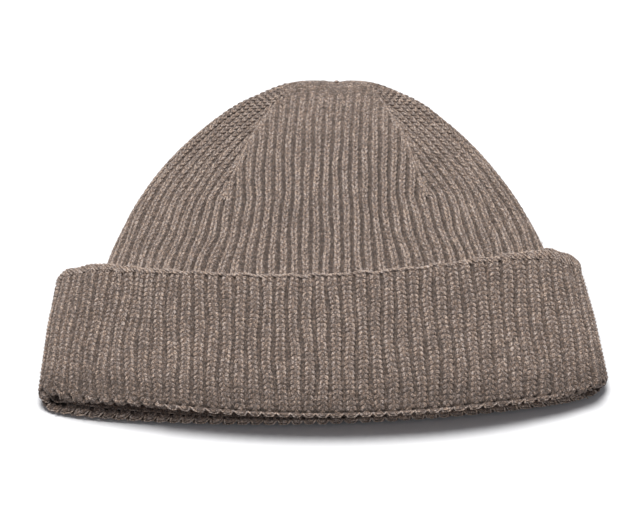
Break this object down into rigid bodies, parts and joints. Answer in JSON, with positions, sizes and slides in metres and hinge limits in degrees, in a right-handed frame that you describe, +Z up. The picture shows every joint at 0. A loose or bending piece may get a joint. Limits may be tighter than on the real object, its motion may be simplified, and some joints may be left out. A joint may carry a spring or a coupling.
{
  "type": "knit hat",
  "caption": "Ribbed knit hat with a wide turned-up cuff and a gored crown drawn together at the top, lying flat on its back with its opening to the front.",
  "frame": {"origin": "middle of the hat's footprint on the floor, as it lies on its back", "axes": "+X across the hat to the right of its front, -Y the open hem, +Y the gathered top, +Z up from the floor"},
  "size_m": [0.2392, 0.2078, 0.021],
  "materials": {
    "knit": "matte heathered taupe wool, one-by-one rib"
  },
  "bodies": {
    "root": {"crown": "knit", "cuff": "knit"}
  },
  "joints": []
}
